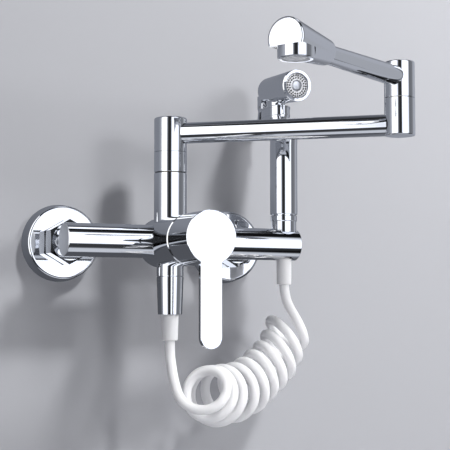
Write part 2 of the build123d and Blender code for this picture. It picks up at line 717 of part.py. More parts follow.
with BuildPart() as elbow_seals:
    for z in elbow_seal_z:
        with Locations(level(ELBOW.X, ELBOW.Y, z)):
            Torus(elbow_seal_floor + SEAL_R, SEAL_R)
write(elbow_seals, "elbow_seals")

# ---- outer arm: upper sleeve, tapered tube, nozzle head and aerator --------------------------

with BuildPart() as upper_sleeve:
    with BuildSketch(level(ELBOW.X, ELBOW.Y, upper_foot)):
        Circle(ELBOW_R)
    extrude(amount=ELBOW_TOP - upper_foot)
    fillet(upper_sleeve.edges().group_by(Axis.Z)[-1], ELBOW_EDGE)
    chamfer(upper_sleeve.edges().group_by(Axis.Z)[0], 0.3)
    with BuildSketch(level(ELBOW.X, ELBOW.Y, upper_foot)):
        Circle(ELBOW_BORE_R)
    extrude(amount=ELBOW_TOP - SLEEVE_WALL - upper_foot, mode=Mode.SUBTRACT)
    with BuildSketch(outer_arm(0)):
        Circle(OUTER_R)
    extrude(amount=HEAD_START, taper=OUTER_TAPER, mode=Mode.SUBTRACT)
write(upper_sleeve, "elbow_upper_sleeve")

with BuildPart() as outer_tube:
    with BuildSketch(outer_arm(0)):
        Circle(OUTER_R)
    extrude(amount=HEAD_START + TUBE_IN_HEAD, taper=OUTER_TAPER)
    with BuildSketch(outer_arm(0)):
        Circle(OUTER_R - TUBE_WALL)
    extrude(amount=HEAD_START + TUBE_IN_HEAD, taper=OUTER_TAPER, mode=Mode.SUBTRACT)
    with BuildSketch(outer_arm(0)):
        Circle(2 * OUTER_R)
    extrude(amount=ELBOW_R - TUBE_SEAT, mode=Mode.SUBTRACT)
write(outer_tube, "outer_arm_tube")

collar_axis = ELBOW + OUTER_DIR * COLLAR_X
with BuildPart() as head:
    with BuildSketch(outer_arm(HEAD_START, HEAD_START_RISE)):
        Circle(HEAD_START_R)
    with BuildSketch(outer_arm(HEAD_FACE, HEAD_FACE_RISE)):
        Circle(HEAD_FACE_R)
    loft()
    end_face = head.faces().sort_by(Axis(ELBOW, OUTER_DIR))[-1]
    fillet(end_face.edges(), HEAD_EDGE)
    start_face = head.faces().sort_by(Axis(ELBOW, OUTER_DIR))[0]
    fillet(start_face.edges(), 0.8)
    # flat that the aerator sits on, open to the front
    with BuildSketch(level(collar_axis.X, collar_axis.Y, HEAD_FLAT_Z)):
        Circle(COLLAR_R + 0.5)
        with Locations(Location((0, 0, 0), (0, 0, OUTER_AZIMUTH))):
            Rectangle(2 * COLLAR_R, 2 * HEAD_FACE_R, align=(Align.MIN, Align.CENTER))
    extrude(amount=-HEAD_FACE_R, mode=Mode.SUBTRACT)
    # water way
    with BuildSketch(outer_arm(0)):
        Circle(OUTER_R)
    extrude(amount=HEAD_START + TUBE_IN_HEAD, taper=OUTER_TAPER, mode=Mode.SUBTRACT)
    with BuildSketch(outer_arm(HEAD_START)):
        Circle(OUTER_TIP_R - TUBE_WALL)
    extrude(amount=COLLAR_X - HEAD_START, mode=Mode.SUBTRACT)
    with BuildSketch(level(collar_axis.X, collar_axis.Y, HEAD_FLAT_Z)):
        Circle(COLLAR_BORE_R - COLLAR_NECK_WALL)
    extrude(amount=COLLAR_NECK, mode=Mode.SUBTRACT)
    # threaded neck for the collar
    with BuildSketch(level(collar_axis.X, collar_axis.Y, HEAD_FLAT_Z)):
        Circle(COLLAR_BORE_R)
        Circle(COLLAR_BORE_R - COLLAR_NECK_WALL, mode=Mode.SUBTRACT)
    extrude(amount=-COLLAR_NECK)
write(head, "nozzle_head")

with BuildPart() as collar:
    with BuildSketch(level(collar_axis.X, collar_axis.Y, COLLAR_FOOT_Z)):
        Circle(COLLAR_R)
    extrude(amount=HEAD_FLAT_Z - COLLAR_FOOT_Z)
    fillet(collar.edges().group_by(Axis.Z)[0], COLLAR_EDGE)
    with BuildSketch(level(collar_axis.X, collar_axis.Y, COLLAR_FOOT_Z)):
        Circle(COLLAR_BORE_R - COLLAR_LIP)
    extrude(amount=HEAD_FLAT_Z, mode=Mode.SUBTRACT)
    with BuildSketch(level(collar_axis.X, collar_axis.Y, COLLAR_FOOT_Z + COLLAR_LIP)):
        Circle(COLLAR_BORE_R)
    extrude(amount=HEAD_FLAT_Z, mode=Mode.SUBTRACT)
write(collar, "aerator_collar")

insert_foot = COLLAR_FOOT_Z + COLLAR_LIP
gasket_top = HEAD_FLAT_Z - COLLAR_NECK
with BuildPart() as aerator_insert:
    with BuildSketch(level(collar_axis.X, collar_axis.Y, insert_foot)):
        Circle(COLLAR_BORE_R - 0.1)
    extrude(amount=gasket_top - AERATOR_GASKET - insert_foot)
    with BuildSketch(level(collar_axis.X, collar_axis.Y, insert_foot)):
        for ring_r, holes in AERATOR_JETS:
            with PolarLocations(ring_r, holes):
                Circle(AERATOR_JET_R)
    extrude(amount=gasket_top, mode=Mode.SUBTRACT)
write(aerator_insert, "aerator_insert")

with BuildPart() as aerator_gasket:
    with BuildSketch(level(collar_axis.X, collar_axis.Y, gasket_top - AERATOR_GASKET)):
        Circle(COLLAR_BORE_R - 0.1)
        Circle(COLLAR_BORE_R - COLLAR_NECK_WALL, mode=Mode.SUBTRACT)
    extrude(amount=AERATOR_GASKET)
write(aerator_gasket, "aerator_gasket")

# ---- hose outlet and hose --------------------------------------------------------------------

with BuildPart() as cone:
    with BuildSketch(level(0, BAR_Y, -SPUD_END - 0.3)):
        Circle(CONE_TOP_R)
    with BuildSketch(level(0, BAR_Y, -CONE_FOOT)):
        Circle(CONE_FOOT_R)
    loft()
    chamfer(cone.edges().group_by(Axis.Z)[-1], 0.4)
    with BuildSketch(level(0, BAR_Y, -SPUD_END - 0.3)):
        Circle(MANIFOLD_R + 1.5)
    extrude(amount=0.3)
    with BuildSketch(level(0, BAR_Y, -CONE_FOOT)):
        Circle(CONE_BORE_R)
    extrude(amount=CONE_FOOT, mode=Mode.SUBTRACT)
write(cone, "outlet_cone")

with BuildPart() as ferrule_left:
    with BuildSketch(level(0, BAR_Y, -CONE_FOOT)):
        Circle(FERRULE_TOP_R)
    with BuildSketch(level(0, BAR_Y, -CONE_FOOT - FERRULE_LENGTH)):
        Circle(FERRULE_FOOT_R)
    loft()
    fillet(ferrule_left.edges().group_by(Axis.Z)[0], 1.0)
write(ferrule_left, "ferrule_left")


def lead_path(points):
    """Straight runs joined by tangent arcs, each as large as its two runs allow."""
    corners = []
    for before, corner, after in zip(points, points[1:], points[2:]):
        run_in = corner - before
        run_out = after - corner
        turn = math.radians(run_in.get_angle(run_out))
        shorter = min(run_in.length, run_out.length)
        corners.append(0.45 * shorter / math.tan(turn / 2))
    print("hose arc radii", [round(r, 1) for r in corners])
    return corners


coil_rounds = []
for middle, direction, turn_r in COIL_STATIONS:
    coil_rounds.append((Vector(*middle), Vector(*direction).normalized(), turn_r + HOSE_R))
# the outermost turns reach past their middles by the hose's radius
coil_rounds[0] = (coil_rounds[0][0] - coil_rounds[0][1] * HOSE_R, *coil_rounds[0][1:])
coil_rounds[-1] = (coil_rounds[-1][0] + coil_rounds[-1][1] * HOSE_R, *coil_rounds[-1][1:])
with BuildPart() as coil:
    for middle, direction, round_r in coil_rounds:
        with BuildSketch(Plane(origin=middle, x_dir=(-0.5, 0, 0.87), z_dir=direction)):
            Circle(round_r)
    loft()
write(coil, "hose_coil")

left_route = [Vector(0, BAR_Y, -CONE_FOOT - FERRULE_LENGTH)]
left_route += [Vector(*p) for p in LEAD_LEFT_POINTS + [LEAD_LEFT_END]]
with BuildPart() as lead_left:
    with BuildLine():
        left_line = FilletPolyline(*left_route, radius=lead_path(left_route))
    with BuildSketch(Plane(origin=left_line @ 0, z_dir=left_line % 0)):
        Circle(HOSE_R)
    sweep()
    add(coil.part, mode=Mode.SUBTRACT)
write(lead_left, "hose_lead_left")

right_route = [Vector(SEAT.X, SEAT.Y, GUN_FERRULE_FOOT)]
right_route += [Vector(*p) for p in LEAD_RIGHT_POINTS + [LEAD_RIGHT_END]]
with BuildPart() as lead_right:
    with BuildLine():
        right_line = FilletPolyline(*right_route, radius=lead_path(right_route))
    with BuildSketch(Plane(origin=right_line @ 0, z_dir=right_line % 0)):
        Circle(HOSE_R)
    sweep()
    add(coil.part, mode=Mode.SUBTRACT)
write(lead_right, "hose_lead_right")

# ---- spray gun -------------------------------------------------------------------------------

with BuildPart() as ferrule_right:
    with BuildSketch(level(SEAT.X, SEAT.Y, GUN_FERRULE_FOOT)):
        Circle(GUN_FERRULE_R - 0.3)
    with BuildSketch(level(SEAT.X, SEAT.Y, GUN_FERRULE_TOP)):
        Circle(GUN_FERRULE_R)
    loft()
    fillet(ferrule_right.edges().group_by(Axis.Z)[0], 0.8)
    with BuildSketch(level(SEAT.X, SEAT.Y, GUN_FERRULE_TOP)):
        Circle(GUN_NIPPLE_R)
    extrude(amount=GUN_SPIGOT_FOOT - GUN_FERRULE_TOP)
write(ferrule_right, "ferrule_right")

gun_foot = SEAT_FACE_Z + 0.1
with BuildPart() as gun_base:
    with BuildSketch(level(SEAT.X, SEAT.Y, GUN_SPIGOT_FOOT)):
        Circle(GUN_SPIGOT_R)
    extrude(amount=gun_foot - GUN_SPIGOT_FOOT)
    chamfer(gun_base.edges().group_by(Axis.Z)[0], 0.8)
    with BuildSketch(level(SEAT.X, SEAT.Y, gun_foot)):
        Circle(GUN_BASE_R)
    extrude(amount=GUN_BASE_TOP - gun_foot)
    with BuildSketch(level(SEAT.X, SEAT.Y, GUN_BASE_TOP)):
        Circle(GUN_BASE_R - 0.6)
    extrude(amount=GUN_GRIP_FOOT - GUN_BASE_TOP)
    with BuildSketch(level(SEAT.X, SEAT.Y, GUN_SPIGOT_FOOT)):
        Circle(GUN_NIPPLE_R - 1.2)
    extrude(amount=GUN_GRIP_TOP, mode=Mode.SUBTRACT)
write(gun_base, "sprayer_base")

with BuildPart() as gun_ring:
    with BuildSketch(level(SEAT.X, SEAT.Y, GUN_BASE_TOP)):
        Circle(GUN_RING_R)
    extrude(amount=GUN_RING_TOP - GUN_BASE_TOP)
    chamfer(gun_ring.edges(), 0.5)
    with BuildSketch(level(SEAT.X, SEAT.Y, GUN_BASE_TOP)):
        Circle(GUN_BASE_R - 0.6)
    extrude(amount=GUN_RING_TOP, mode=Mode.SUBTRACT)
write(gun_ring, "sprayer_ring")

# The head is a tapered drum whose axis leans down to the front.
head_dir = Vector(0, -math.cos(math.radians(GUN_HEAD_TILT)), -math.sin(math.radians(GUN_HEAD_TILT)))
face_centre = Vector(SEAT.X, SEAT.Y - GUN_HEAD_FRONT, GUN_HEAD_Z)
drum_length = GUN_HEAD_FRONT + GUN_HEAD_BACK


def gun_face(depth):
    """Plane across the spray head, its normal out of the face, at a depth behind the face."""
    return Plane(origin=face_centre - head_dir * depth, x_dir=(1, 0, 0), z_dir=head_dir)


def plunger_plane(depth):
    """Plane across the valve plunger, its normal towards the wall."""
    return Plane(origin=(SEAT.X, SEAT.Y + depth, PLUNGER_Z), x_dir=(1, 0, 0), z_dir=(0, 1, 0))


TRIGGER_PIVOT = (SEAT.Y + TRIGGER_PIVOT_Y, TRIGGER_PIVOT_Z)

with BuildPart() as gun:
    # grip that bends back into the oval neck
    with BuildSketch(level(SEAT.X, SEAT.Y, GUN_GRIP_TOP)):
        Circle(GUN_GRIP_R)
    with BuildSketch(level(SEAT.X, SEAT.Y + 0.3 * NECK_BACK, GUN_GRIP_TOP + 6.5)):
        Ellipse(GUN_GRIP_R - 0.3, GUN_GRIP_R + 0.8)
    with BuildSketch(level(SEAT.X, SEAT.Y + 0.75 * NECK_BACK, GUN_GRIP_TOP + 13.0)):
        Ellipse(NECK_X + 0.2, NECK_Y - 1.2)
    with BuildSketch(level(SEAT.X, SEAT.Y + NECK_BACK, NECK_BAND[0])):
        Ellipse(NECK_X, NECK_Y)
    loft()
    with BuildSketch(level(SEAT.X, SEAT.Y + NECK_BACK, NECK_BAND[0])):
        Ellipse(NECK_X, NECK_Y)
    extrude(amount=NECK_BAND[1] - NECK_BAND[0])
    with BuildSketch(level(SEAT.X, SEAT.Y + NECK_BACK - 1.0, NECK_BAND[1])):
        Ellipse(NECK_X - 0.9, NECK_Y - 2.2)
    extrude(amount=GUN_HEAD_Z - NECK_BAND[1])
    with BuildSketch(level(SEAT.X, SEAT.Y, GUN_GRIP_FOOT)):
        Circle(GUN_GRIP_R)
    extrude(amount=GUN_GRIP_TOP - GUN_GRIP_FOOT)
    # head
    with BuildSketch(gun_face(drum_length)):
        Circle(GUN_REAR_R)
    with BuildSketch(gun_face(0)):
        Circle(GUN_FACE_R)
    loft()
    rear_ring = gun.edges().filter_by(GeomType.CIRCLE).sort_by(Axis.Y)[-1]
    fillet(rear_ring, GUN_REAR_EDGE)
    # pocket for the bezel and the spray plate
    with BuildSketch(gun_face(0)):
        Circle(GUN_FACE_R - 1.2)
    extrude(amount=-BEZEL_DEPTH, mode=Mode.SUBTRACT)
    with BuildSketch(gun_face(BEZEL_DEPTH)):
        Circle(BEZEL_INNER_R - 1.0)
    extrude(amount=-6.0, mode=Mode.SUBTRACT)
    # water way through the grip
    with BuildSketch(level(SEAT.X, SEAT.Y, GUN_GRIP_FOOT)):
        Circle(GUN_BORE_R)
    extrude(amount=GUN_GRIP_TOP - GUN_GRIP_FOOT, mode=Mode.SUBTRACT)
    # two cheeks under the head hold the trigger's pin; the trigger's eye turns between them
    for cheek_x in (-TRIGGER_WIDTH / 2 - 0.3 - CHEEK_THICK, TRIGGER_WIDTH / 2 + 0.3):
        with BuildSketch(Plane.YZ.offset(SEAT.X + cheek_x)):
            with Locations(TRIGGER_PIVOT):
                Circle(CHEEK_R)
                Rectangle(2 * CHEEK_R, CHEEK_RISE, align=(Align.CENTER, Align.MIN))
        extrude(amount=CHEEK_THICK)
    with BuildSketch(Plane.YZ.offset(SEAT.X - TRIGGER_WIDTH / 2 - 0.3)):
        with Locations(TRIGGER_PIVOT):
            Circle(TRIGGER_EYE_R + TRIGGER_ROOM)
    extrude(amount=TRIGGER_WIDTH + 0.6, mode=Mode.SUBTRACT)
    with BuildSketch(Plane.YZ.offset(SEAT.X - GUN_GRIP_R)):
        with Locations(TRIGGER_PIVOT):
            Circle(TRIGGER_PIN_R)
    extrude(amount=2 * GUN_GRIP_R, mode=Mode.SUBTRACT)
    # bore of the valve plunger
    with BuildSketch(plunger_plane(PLUNGER_INNER)):
        Circle(PLUNGER_R + 0.1)
    extrude(amount=TRIGGER_FOOT_Y, mode=Mode.SUBTRACT)
write(gun, "sprayer_body")

with BuildPart() as bezel:
    with BuildSketch(gun_face(BEZEL_DEPTH)):
        Circle(GUN_FACE_R - 1.2)
        Circle(BEZEL_INNER_R, mode=Mode.SUBTRACT)
    extrude(amount=BEZEL_DEPTH + 0.6)
    fillet(bezel.edges().sort_by(Axis.Y)[0:2], 0.5)
write(bezel, "spray_bezel")

with BuildPart() as plate:
    with BuildSketch(gun_face(BEZEL_DEPTH)):
        Circle(BEZEL_INNER_R - 0.1)
    extrude(amount=PLATE_THICK)
    with BuildSketch(gun_face(BEZEL_DEPTH - PLATE_THICK)):
        Circle(PLATE_BOSS_R)
    extrude(amount=0.7)
    with BuildSketch(gun_face(BEZEL_DEPTH)):
        for ring_r, jets in JET_RINGS:
            with PolarLocations(ring_r, jets):
                Circle(JET_R)
    extrude(amount=PLATE_THICK, mode=Mode.SUBTRACT)
write(plate, "spray_plate")

# ---- trigger, pin and valve plunger ----------------------------------------------------------

with BuildPart() as trigger_pin:
    with BuildSketch(Plane.YZ.offset(SEAT.X - TRIGGER_WIDTH / 2 - 0.3 - CHEEK_THICK)):
        with Locations(TRIGGER_PIVOT):
            Circle(TRIGGER_PIN_R)
    extrude(amount=TRIGGER_WIDTH + 0.6 + 2 * CHEEK_THICK)
write(trigger_pin, "trigger_pin")

with BuildPart() as trigger:
    with BuildSketch(Plane.YZ.offset(SEAT.X - TRIGGER_WIDTH / 2)):
        with BuildLine():
            blade_line = Polyline(
                TRIGGER_PIVOT,
                (SEAT.Y + TRIGGER_KNEE_Y, TRIGGER_KNEE_Z),
                (SEAT.Y + TRIGGER_FOOT_Y, TRIGGER_FOOT_Z),
                (SEAT.Y + TRIGGER_CURL_Y, TRIGGER_CURL_Z),
            )
            offset(amount=TRIGGER_THICK / 2)
        make_face()
        with Locations(TRIGGER_PIVOT):
            Circle(TRIGGER_EYE_R)
    extrude(amount=TRIGGER_WIDTH)
    with BuildSketch(Plane.YZ.offset(SEAT.X - TRIGGER_WIDTH)):
        with Locations(TRIGGER_PIVOT):
            Circle(TRIGGER_PIN_R + 0.06)
    extrude(amount=2 * TRIGGER_WIDTH, mode=Mode.SUBTRACT)
write(trigger, "trigger")

knee_fall = (TRIGGER_KNEE_Z - PLUNGER_Z) / (TRIGGER_KNEE_Z - TRIGGER_FOOT_Z)
slope = (TRIGGER_FOOT_Y - TRIGGER_KNEE_Y) / (TRIGGER_KNEE_Z - TRIGGER_FOOT_Z)
trigger_y = TRIGGER_KNEE_Y + knee_fall * (TRIGGER_FOOT_Y - TRIGGER_KNEE_Y)
inner_face = trigger_y - TRIGGER_THICK / 2 * math.hypot(1, slope)
plunger_reach = inner_face - PLUNGER_R * slope - PLUNGER_GAP
with BuildPart() as plunger:
    with BuildSketch(plunger_plane(PLUNGER_INNER + 2.0)):
        Circle(PLUNGER_R)
    extrude(amount=plunger_reach - PLUNGER_INNER - 2.0)
    fillet(plunger.edges().sort_by(Axis.Y)[-1], 0.8)
write(plunger, "spray_plunger")
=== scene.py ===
import math

import bmesh
import bpy
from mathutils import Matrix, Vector


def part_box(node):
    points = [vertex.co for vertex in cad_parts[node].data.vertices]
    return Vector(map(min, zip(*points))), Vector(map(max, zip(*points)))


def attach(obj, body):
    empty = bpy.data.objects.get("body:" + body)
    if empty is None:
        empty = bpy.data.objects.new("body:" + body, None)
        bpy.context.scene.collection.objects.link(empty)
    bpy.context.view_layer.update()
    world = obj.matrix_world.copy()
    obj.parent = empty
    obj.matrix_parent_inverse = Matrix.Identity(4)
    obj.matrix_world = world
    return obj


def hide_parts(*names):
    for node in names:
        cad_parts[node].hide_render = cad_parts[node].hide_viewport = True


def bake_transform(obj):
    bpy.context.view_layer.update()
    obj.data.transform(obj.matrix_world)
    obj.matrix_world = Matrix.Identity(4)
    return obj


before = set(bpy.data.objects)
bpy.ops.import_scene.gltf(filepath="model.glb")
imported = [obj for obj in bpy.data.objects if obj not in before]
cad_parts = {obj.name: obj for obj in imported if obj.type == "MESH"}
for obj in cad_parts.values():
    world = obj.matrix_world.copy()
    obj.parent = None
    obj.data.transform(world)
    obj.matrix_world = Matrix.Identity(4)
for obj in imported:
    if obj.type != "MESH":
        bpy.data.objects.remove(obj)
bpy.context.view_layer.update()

# ---- Camera, wall and floor ----------------------------------------------------------------------
# The mixer hangs on a wall in pale matt roller paint, above a pale floor. It is seen from the
# left and from a little below the spout, through a long lens.

EYE = Vector((-0.3802, -0.9593, -0.0508))
LOOK = Vector((0.4295, 0.9006, 0.0660))
LENS = 96.53

camera = bpy.data.objects.new("camera", bpy.data.cameras.new("camera"))
camera.data.lens = LENS
camera.location = EYE
camera.rotation_euler = LOOK.to_track_quat("-Z", "Y").to_euler()
bpy.context.scene.collection.objects.link(camera)
bpy.context.scene.camera = camera
bpy.context.scene.view_settings.view_transform = "Standard"

WALL_SIZE = 5.0
WALL_COLOUR = (0.43, 0.435, 0.46, 1)
FLOOR_LEVEL = -0.45
FLOOR_COLOUR = (0.66, 0.66, 0.68, 1)
PAINT_ROUGHNESS = 0.85
PAINT_SHINE = 0.15


def fresh(name):
    """A new material and its main shader."""
    material = bpy.data.materials.new(name)
    material.use_nodes = True
    return material, material.node_tree.nodes["Principled BSDF"]


def grain(tree, scale, detail, roughness=0.5):
    """Noise that stays fixed to its piece; its scale is in grains per metre."""
    place = tree.nodes.new("ShaderNodeTexCoord")
    noise = tree.nodes.new("ShaderNodeTexNoise")
    noise.inputs["Scale"].default_value = scale
    noise.inputs["Detail"].default_value = detail
    noise.inputs["Roughness"].default_value = roughness
    tree.links.new(place.outputs["Object"], noise.inputs["Vector"])
    return noise.outputs["Fac"]


def relief(tree, height, strength, depth):
    """Fine bumps in the surface of the main shader."""
    bump = tree.nodes.new("ShaderNodeBump")
    bump.inputs["Strength"].default_value = strength
    bump.inputs["Distance"].default_value = depth
    tree.links.new(height, bump.inputs["Height"])
    tree.links.new(bump.outputs["Normal"], tree.nodes["Principled BSDF"].inputs["Normal"])


def either(tree, factor, first, second):
    """The first shader where the factor is 0 and the second where it is 1."""
    mix = tree.nodes.new("ShaderNodeMixShader")
    for socket, value in zip(mix.inputs, (factor, first, second)):
        tree.links.new(value, socket)
    return mix.outputs["Shader"]


def painted(name, colour):
    """Matt paint with a fine roller grain; its back lets the view through."""
    material, shader = fresh(name)
    tree = material.node_tree
    shader.inputs["Base Color"].default_value = colour
    shader.inputs["Roughness"].default_value = PAINT_ROUGHNESS
    shader.inputs["Specular IOR Level"].default_value = PAINT_SHINE
    relief(tree, grain(tree, scale=320, detail=3), strength=0.04, depth=0.0004)
    side = tree.nodes.new("ShaderNodeNewGeometry")
    clear = tree.nodes.new("ShaderNodeBsdfTransparent")
    surface = either(tree, side.outputs["Backfacing"], shader.outputs["BSDF"], clear.outputs["BSDF"])
    tree.links.new(surface, tree.nodes["Material Output"].inputs["Surface"])
    return material


def panel(name, normal, place, material):
    """A large square of wall or floor with its face along the normal."""
    shape = bmesh.new()
    bmesh.ops.create_grid(shape, x_segments=1, y_segments=1, size=WALL_SIZE / 2)
    turn = Vector(normal).to_track_quat("Z", "Y").to_matrix()
    bmesh.ops.rotate(shape, verts=shape.verts, cent=(0, 0, 0), matrix=turn)
    bmesh.ops.translate(shape, verts=shape.verts, vec=place)
    mesh = bpy.data.meshes.new(name)
    shape.to_mesh(mesh)
    shape.free()
    mesh.materials.append(material)
    piece = bpy.data.objects.new(name, mesh)
    bpy.context.scene.collection.objects.link(piece)
    return piece


wall_paint_and_painted_reflection = painted("wall_paint_and_painted_reflection", WALL_COLOUR)
floor_paint = painted("floor_paint", FLOOR_COLOUR)
panel("wall", (0, -1, 0), (0, 0, 0), wall_paint_and_painted_reflection)
ground = panel("floor", (0, 0, 1), (0, -WALL_SIZE / 2, FLOOR_LEVEL), floor_paint)
ground.visible_glossy = False

# ---- Wall in the mirror images -------------------------------------------------------------------
# In the polished metal the lit wall is replaced by a painted reflection: an even glow, free of the lamps'
# shadows, with painted shade that is mid grey level with the mixer, dark above and below it, and pale far to
# both sides.

PAINTED_REFLECTION_LOW = (0.09, 0.095, 0.11, 1)
PAINTED_REFLECTION_NEAR = (0.235, 0.25, 0.29, 1)
PAINTED_REFLECTION_ABOVE = (0.08, 0.085, 0.10, 1)
PAINTED_REFLECTION_FAR = (0.44, 0.46, 0.52, 1)
LOW_TO_NEAR = (-0.03, 0.06)  # heights between which the tones change
NEAR_TO_ABOVE = (0.17, 0.30)
NEAR_TO_RIGHT = (0.13, 0.5)  # places along the wall between which they change
NEAR_TO_LEFT = (-0.13, -0.6)


def blended(tree, first, second, factor):
    """Colour between two, each a value or a socket."""
    mix = tree.nodes.new("ShaderNodeMix")
    mix.data_type = "RGBA"
    for name, colour in (("A", first), ("B", second)):
        if isinstance(colour, tuple):
            mix.inputs[name].default_value = colour
        else:
            tree.links.new(colour, mix.inputs[name])
    tree.links.new(factor, mix.inputs["Factor"])
    return mix.outputs["Result"]


def share_between(tree, value, low, high):
    """Share of the way from low to high."""
    share = tree.nodes.new("ShaderNodeMapRange")
    share.inputs["From Min"].default_value = low
    share.inputs["From Max"].default_value = high
    tree.links.new(value, share.inputs["Value"])
    return share.outputs["Result"]


def place_along(tree, axis):
    """Place on the piece along one axis, in metres."""
    place = tree.nodes.new("ShaderNodeTexCoord")
    axes = tree.nodes.new("ShaderNodeSeparateXYZ")
    tree.links.new(place.outputs["Object"], axes.inputs["Vector"])
    return axes.outputs[axis]


wall_tree = wall_paint_and_painted_reflection.node_tree
wall_height = place_along(wall_tree, "Z")
wall_across = place_along(wall_tree, "X")
painted_reflection_tone = PAINTED_REFLECTION_LOW
for tone, place, limits in (
    (PAINTED_REFLECTION_NEAR, wall_height, LOW_TO_NEAR),
    (PAINTED_REFLECTION_ABOVE, wall_height, NEAR_TO_ABOVE),
    (PAINTED_REFLECTION_FAR, wall_across, NEAR_TO_RIGHT),
    (PAINTED_REFLECTION_FAR, wall_across, NEAR_TO_LEFT),
):
    painted_reflection_tone = blended(wall_tree, painted_reflection_tone, tone, share_between(wall_tree, place, *limits))
# Glossy rays see these painted tones as a glow in place of the lit paint: painted reflection and painted
# shade.
wall_ray = wall_tree.nodes.new("ShaderNodeLightPath")
painted_reflection_glow = wall_tree.nodes.new("ShaderNodeEmission")
wall_tree.links.new(painted_reflection_tone, painted_reflection_glow.inputs["Color"])
wall_front = either(
    wall_tree,
    wall_ray.outputs["Is Glossy Ray"],
    wall_tree.nodes["Principled BSDF"].outputs["BSDF"],
    painted_reflection_glow.outputs["Emission"],
)
wall_tree.links.new(wall_front, wall_tree.nodes["Mix Shader"].inputs[1])

# ---- Room in the mirror images -------------------------------------------------------------------
# The polished metal mirrors a narrow and a wide tall window with the dark of the room between
# them, a skylight nearly overhead, a dark ceiling and a bright floor straight below. Matt
# surfaces only see the room's even, pale average.

ROOM_PALE = (0.80, 0.80, 0.84, 1)
ROOM_FILL = 0.28
ROOM_MIRRORED = (0.91, 0.95, 1.05, 1)
WINDOW = 1.7
HEADINGS = [  # degrees to the right of straight out from the wall, and light level
    (-180, 0.30), (-110, 0.25), (-92, 0.30), (-68, 0.30), (-61, WINDOW), (-51, WINDOW), (-44, 0.20),
    (-35, 0.03), (-19, 0.03), (-12, WINDOW), (30, WINDOW), (42, 0.18), (74, 0.24), (84, 0.46),
    (120, 0.46), (180, 0.30),
]
HEIGHTS = [  # degrees above level, and the share of that light there
    (-90, 0.35), (-52, 0.10), (-48, 0.03), (-27, 0.03), (-22, 1.0), (43, 1.0), (48, 0.03), (90, 0.05),
]
FLOOR_GLOW = [(-90, 0.7), (-58, 0.7), (-51, 0.0), (90, 0.0)]  # degrees above level, and light level
SKYLIGHT = (0.24, 0.0, 0.97)
SKYLIGHT_OUTER = math.radians(14)  # half angles of its soft edge
SKYLIGHT_INNER = math.radians(10)

room = bpy.data.worlds.new("room")
bpy.context.scene.world = room
room.use_nodes = True
room_tree = room.node_tree
room_tree.nodes.clear()
direction = room_tree.nodes.new("ShaderNodeTexCoord")
axes = room_tree.nodes.new("ShaderNodeSeparateXYZ")
room_tree.links.new(direction.outputs["Generated"], axes.inputs["Vector"])


def sums(tree, operation, first, second=None):
    """One step of arithmetic between node sockets or numbers."""
    step = tree.nodes.new("ShaderNodeMath")
    step.operation = operation
    for socket, value in zip(step.inputs, (first, second)):
        if isinstance(value, (int, float)):
            socket.default_value = value
        elif value is not None:
            tree.links.new(value, socket)
    return step.outputs["Value"]


def brightness(tree, angle, low, high, stops):
    """Light level by angle in degrees, in straight lines between the stops."""
    share = share_between(tree, angle, math.radians(low), math.radians(high))
    curve = tree.nodes.new("ShaderNodeFloatCurve")
    tree.links.new(share, curve.inputs["Value"])
    line = curve.mapping.curves[0]
    top = max(level for degrees, level in stops)
    while len(line.points) < len(stops):
        line.points.new(0.5, 0.5)
    for point, (degrees, level) in zip(line.points, stops):
        point.location = ((degrees - low) / (high - low), level / top)
        point.handle_type = "VECTOR"
    curve.mapping.update()
    return sums(tree, "MULTIPLY", curve.outputs["Value"], top)


def background(tree, colour, strength=1.0):
    """Light of one colour from the room; its strength is a value or a socket."""
    light = tree.nodes.new("ShaderNodeBackground")
    light.inputs["Color"].default_value = colour
    if isinstance(strength, float):
        light.inputs["Strength"].default_value = strength
    else:
        tree.links.new(strength, light.inputs["Strength"])
    return light.outputs["Background"]


outward = sums(room_tree, "MULTIPLY", axes.outputs["Y"], -1.0)
heading = sums(room_tree, "ARCTAN2", axes.outputs["X"], outward)
height = sums(room_tree, "ARCSINE", axes.outputs["Z"])
windows = brightness(room_tree, heading, -180, 180, HEADINGS)
rise = brightness(room_tree, height, -90, 90, HEIGHTS)
floor_glow = brightness(room_tree, height, -90, 90, FLOOR_GLOW)
towards = room_tree.nodes.new("ShaderNodeVectorMath")
towards.operation = "DOT_PRODUCT"
towards.inputs[1].default_value = Vector(SKYLIGHT).normalized()
room_tree.links.new(direction.outputs["Generated"], towards.inputs[0])
skylight = room_tree.nodes.new("ShaderNodeMapRange")
skylight.inputs["From Min"].default_value = math.cos(SKYLIGHT_OUTER)
skylight.inputs["From Max"].default_value = math.cos(SKYLIGHT_INNER)
skylight.inputs["To Max"].default_value = WINDOW
room_tree.links.new(towards.outputs["Value"], skylight.inputs["Value"])
walls = sums(room_tree, "MULTIPLY", windows, rise)
above = sums(room_tree, "MAXIMUM", walls, skylight.outputs["Result"])
mirrored_room = background(room_tree, ROOM_MIRRORED, sums(room_tree, "MAXIMUM", above, floor_glow))
average_room = background(room_tree, ROOM_PALE, ROOM_FILL)
seen_room = background(room_tree, ROOM_PALE)
room_ray = room_tree.nodes.new("ShaderNodeLightPath")
lit = either(room_tree, room_ray.outputs["Is Glossy Ray"], average_room, mirrored_room)
shown = either(room_tree, room_ray.outputs["Is Camera Ray"], lit, seen_room)
room_output = room_tree.nodes.new("ShaderNodeOutputWorld")
room_tree.links.new(shown, room_output.inputs["Surface"])

# ---- Left window ---------------------------------------------------------------------------------
# A tall pane of even light stands a metre to the left, square to the wall. Only mirror images
# show it, and it lights nothing else.

PANE_LOW = (-1.0, -0.945, -0.4)
PANE_HIGH = (-1.0, -0.10, 1.7)
PANE_TINT = (0.97, 0.98, 1.0, 1)

